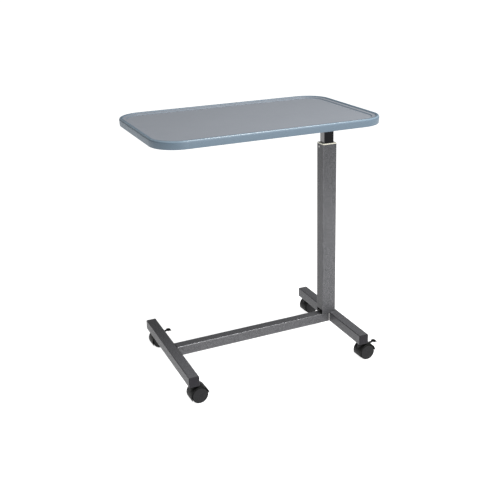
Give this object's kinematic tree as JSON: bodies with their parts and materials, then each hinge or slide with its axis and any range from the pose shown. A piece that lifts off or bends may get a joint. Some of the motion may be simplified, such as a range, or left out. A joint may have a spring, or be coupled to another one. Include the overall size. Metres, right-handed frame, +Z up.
{
  "type": "overbed table",
  "caption": "Overbed table with a lipped rectangular tray on a sliding mast, a rectangular column at one side, and an H-shaped base on braked twin-wheel casters.",
  "frame": {"origin": "on the floor, under the centre of the tray", "axes": "+X towards the column, +Y across the tray's short side, away from the user, +Z up"},
  "size_m": [0.762, 0.484, 0.857],
  "materials": {
    "tray_plastic": "moulded, satin, faint texture",
    "silver_vein_paint": "dark silver-vein powder coat",
    "black_enamel": "gloss enamel",
    "black_paint": "satin",
    "ivory_nylon": "satin",
    "black_plastic": "fine texture",
    "wheel_nylon": "matte",
    "chromed_rod": "polished",
    "zinc_steel": "zinc plated"
  },
  "bodies": {
    "base": {"column_tube": "silver_vein_paint", "crossbar_tube": "silver_vein_paint", "left_foot_tube": "silver_vein_paint", "right_foot_tube": "silver_vein_paint", "weld_beads": "silver_vein_paint", "column_bush": "ivory_nylon", "bush_screw": "zinc_steel", "column_foot_plate": "black_paint", "column_bolts": "zinc_steel", "gas_cylinder": "black_paint", "gas_gland": "zinc_steel", "front_left_end_cap": "black_plastic", "front_left_socket": "zinc_steel", "front_left_stem": "zinc_steel", "front_right_end_cap": "black_plastic", "front_right_socket": "zinc_steel", "front_right_stem": "zinc_steel", "rear_left_end_cap": "black_plastic", "rear_left_socket": "zinc_steel", "rear_left_stem": "zinc_steel", "rear_right_end_cap": "black_plastic", "rear_right_socket": "zinc_steel", "rear_right_stem": "zinc_steel"},
    "mast": {"mast_tube": "black_enamel", "mast_head_plate": "black_paint", "mast_glide": "ivory_nylon", "head_plate_bolts": "zinc_steel", "front_support_rail": "black_paint", "rear_support_rail": "black_paint", "rail_tie_bar": "black_paint", "tray_top": "tray_plastic", "tray_screws": "zinc_steel", "gas_rod": "chromed_rod", "rod_nut": "zinc_steel", "lever_bracket": "black_paint", "lever_pin": "zinc_steel"},
    "lever": {"release_lever": "black_paint", "lever_grip": "black_plastic"},
    "release_pin": {"release_pin": "zinc_steel"},
    "front_left_caster": {"front_left_hood": "black_plastic", "front_left_axle": "zinc_steel"},
    "front_left_wheel_a": {"front_left_wheel_a": "wheel_nylon"},
    "front_left_wheel_b": {"front_left_wheel_b": "wheel_nylon"},
    "front_right_caster": {"front_right_hood": "black_plastic", "front_right_axle": "zinc_steel", "front_right_pedal_pin": "zinc_steel"},
    "front_right_wheel_a": {"front_right_wheel_a": "wheel_nylon"},
    "front_right_wheel_b": {"front_right_wheel_b": "wheel_nylon"},
    "front_right_brake": {"front_right_brake_pedal": "black_plastic"},
    "rear_left_caster": {"rear_left_hood": "black_plastic", "rear_left_axle": "zinc_steel", "rear_left_pedal_pin": "zinc_steel"},
    "rear_left_wheel_a": {"rear_left_wheel_a": "wheel_nylon"},
    "rear_left_wheel_b": {"rear_left_wheel_b": "wheel_nylon"},
    "rear_left_brake": {"rear_left_brake_pedal": "black_plastic"},
    "rear_right_caster": {"rear_right_hood": "black_plastic", "rear_right_axle": "zinc_steel"},
    "rear_right_wheel_a": {"rear_right_wheel_a": "wheel_nylon"},
    "rear_right_wheel_b": {"rear_right_wheel_b": "wheel_nylon"}
  },
  "joints": [
    {"name": "mast_slide", "type": "slide", "parent": "base", "child": "mast", "axis": [0, 0, 1], "range_m": [-0.08, 0.3]},
    {"name": "lever_hinge", "type": "hinge", "parent": "mast", "child": "lever", "pos_m": [0.306, 0, 0.8365], "axis": [0, -1, 0], "range_deg": [0, 10], "stiffness_Nm_per_rad": 0.6, "springref_deg": -11.46},
    {"name": "release_pin_slide", "type": "slide", "parent": "mast", "child": "release_pin", "axis": [0, 0, -1], "range_m": [0, 0.00305]},
    {"name": "front_left_swivel", "type": "hinge", "parent": "base", "child": "front_left_caster", "pos_m": [-0.3105, -0.208, 0.05], "axis": [0, 0, 1], "continuous": true},
    {"name": "front_left_spin_a", "type": "hinge", "parent": "front_left_caster", "child": "front_left_wheel_a", "pos_m": [-0.29251, -0.20737, 0.028], "axis": [-0.0349, 0.9994, 0], "continuous": true},
    {"name": "front_left_spin_b", "type": "hinge", "parent": "front_left_caster", "child": "front_left_wheel_b", "pos_m": [-0.29251, -0.20737, 0.028], "axis": [-0.0349, 0.9994, 0], "continuous": true},
    {"name": "front_right_swivel", "type": "hinge", "parent": "base", "child": "front_right_caster", "pos_m": [0.3105, -0.208, 0.05], "axis": [0, 0, 1], "continuous": true},
    {"name": "front_right_spin_a", "type": "hinge", "parent": "front_right_caster", "child": "front_right_wheel_a", "pos_m": [0.32849, -0.20737, 0.028], "axis": [-0.0349, 0.9994, 0], "continuous": true},
    {"name": "front_right_spin_b", "type": "hinge", "parent": "front_right_caster", "child": "front_right_wheel_b", "pos_m": [0.32849, -0.20737, 0.028], "axis": [-0.0349, 0.9994, 0], "continuous": true},
    {"name": "front_right_brake_pedal", "type": "hinge", "parent": "front_right_caster", "child": "front_right_brake", "pos_m": [0.34148, -0.20692, 0.05], "axis": [0.0349, -0.9994, 0], "range_deg": [0, 12]},
    {"name": "rear_left_swivel", "type": "hinge", "parent": "base", "child": "rear_left_caster", "pos_m": [-0.3105, 0.208, 0.05], "axis": [0, 0, 1], "continuous": true},
    {"name": "rear_left_spin_a", "type": "hinge", "parent": "rear_left_caster", "child": "rear_left_wheel_a", "pos_m": [-0.29251, 0.20863, 0.028], "axis": [-0.0349, 0.9994, 0], "continuous": true},
    {"name": "rear_left_spin_b", "type": "hinge", "parent": "rear_left_caster", "child": "rear_left_wheel_b", "pos_m": [-0.29251, 0.20863, 0.028], "axis": [-0.0349, 0.9994, 0], "continuous": true},
    {"name": "rear_left_brake_pedal", "type": "hinge", "parent": "rear_left_caster", "child": "rear_left_brake", "pos_m": [-0.27952, 0.20908, 0.05], "axis": [0.0349, -0.9994, 0], "range_deg": [0, 12]},
    {"name": "rear_right_swivel", "type": "hinge", "parent": "base", "child": "rear_right_caster", "pos_m": [0.3105, 0.208, 0.05], "axis": [0, 0, 1], "continuous": true},
    {"name": "rear_right_spin_a", "type": "hinge", "parent": "rear_right_caster", "child": "rear_right_wheel_a", "pos_m": [0.32849, 0.20863, 0.028], "axis": [-0.0349, 0.9994, 0], "continuous": true},
    {"name": "rear_right_spin_b", "type": "hinge", "parent": "rear_right_caster", "child": "rear_right_wheel_b", "pos_m": [0.32849, 0.20863, 0.028], "axis": [-0.0349, 0.9994, 0], "continuous": true}
  ],
  "couplings": [
    {"joint": "release_pin_slide", "follows": "lever_hinge", "m_per_rad": 0.0175}
  ]
}
